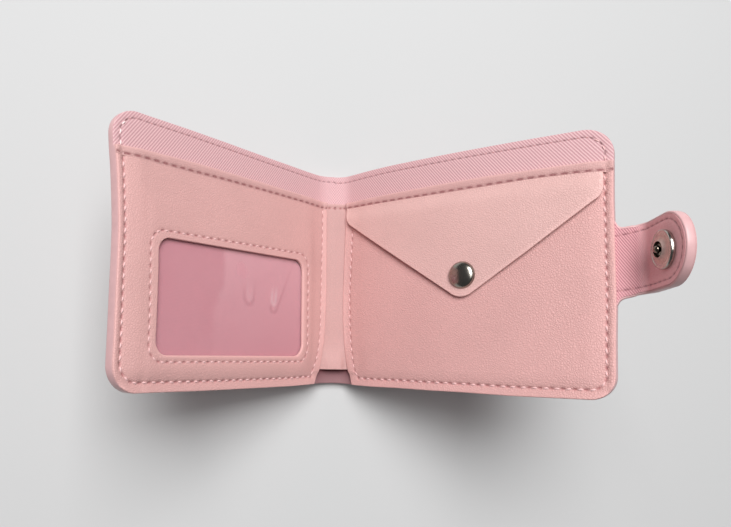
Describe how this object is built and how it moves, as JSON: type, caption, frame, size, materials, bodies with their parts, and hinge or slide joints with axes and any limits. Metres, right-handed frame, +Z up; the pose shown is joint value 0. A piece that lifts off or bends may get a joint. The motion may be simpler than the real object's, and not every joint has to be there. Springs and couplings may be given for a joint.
{
  "type": "bifold wallet",
  "caption": "Small bifold leather wallet lying open on its spine, with a clear card window, a snap-closed coin pocket under a pointed flap, and a curled closing strap.",
  "frame": {"origin": "centre of the flat outer face of the spine, on the table", "axes": "+Z up from the table, +Y along the spine towards the open edge of the note compartment, +X towards the cover that carries the closing strap"},
  "size_m": [0.1777, 0.095, 0.1126],
  "materials": {
    "outer_leather": "satin",
    "inner_leather": "satin",
    "padding": "matte",
    "twill_lining": "matte",
    "window_lining": "matte",
    "clear_film": "gloss",
    "dark_nickel": "polished",
    "nickel": "polished"
  },
  "bodies": {
    "spine": {"spine_leather": "outer_leather", "spine_padding": "padding", "spine_lining": "twill_lining", "spine_strip": "inner_leather"},
    "left_cover": {"left_outer_leather": "outer_leather", "left_padding": "padding", "left_lining": "twill_lining", "card_divider": "twill_lining", "card_slot_back": "inner_leather", "card_slot_front": "inner_leather", "id_pocket_back": "window_lining", "id_window_film": "clear_film", "left_inner_panel": "inner_leather", "left_panel_hem": "inner_leather", "closure_stud_base": "nickel", "closure_stud_post": "dark_nickel"},
    "right_cover": {"right_outer_leather": "outer_leather", "right_padding": "padding", "right_lining": "twill_lining", "coin_pocket_back": "twill_lining", "right_inner_panel": "inner_leather", "right_panel_hem": "inner_leather", "pocket_stud_base": "nickel", "pocket_stud_post": "dark_nickel"},
    "coin_flap": {"coin_flap": "inner_leather", "flap_lining": "twill_lining", "flap_snap_cap": "dark_nickel", "flap_snap_socket": "nickel"},
    "strap_root": {"strap_root_leather": "outer_leather", "strap_root_lining": "twill_lining"},
    "strap_tip": {"strap_tip_leather": "outer_leather", "strap_tip_lining": "twill_lining", "strap_snap_socket": "nickel", "strap_rivet": "dark_nickel", "strap_snap_cap": "dark_nickel"}
  },
  "joints": [
    {"name": "left_cover_fold", "type": "hinge", "parent": "spine", "child": "left_cover", "pos_m": [-0.00655, 0, 0.0007], "axis": [0, 1, 0], "range_deg": [-41.2, 47.3]},
    {"name": "right_cover_fold", "type": "hinge", "parent": "spine", "child": "right_cover", "pos_m": [0.00655, 0, 0.0007], "axis": [0, -1, 0], "range_deg": [-48, 40.5]},
    {"name": "coin_flap_lift", "type": "hinge", "parent": "right_cover", "child": "coin_flap", "pos_m": [0.04048, 0.03038, 0.04548], "axis": [0.6689, -0.0236, 0.7429], "range_deg": [-135, 0]},
    {"name": "strap_root_fold", "type": "hinge", "parent": "right_cover", "child": "strap_root", "pos_m": [0.08131, -0.0009, 0.08463], "axis": [0, -1, 0], "range_deg": [-30, 100]},
    {"name": "strap_tip_fold", "type": "hinge", "parent": "strap_root", "child": "strap_tip", "pos_m": [0.08612, -0.0009, 0.08698], "axis": [0, 1, 0], "range_deg": [-20, 73]}
  ]
}
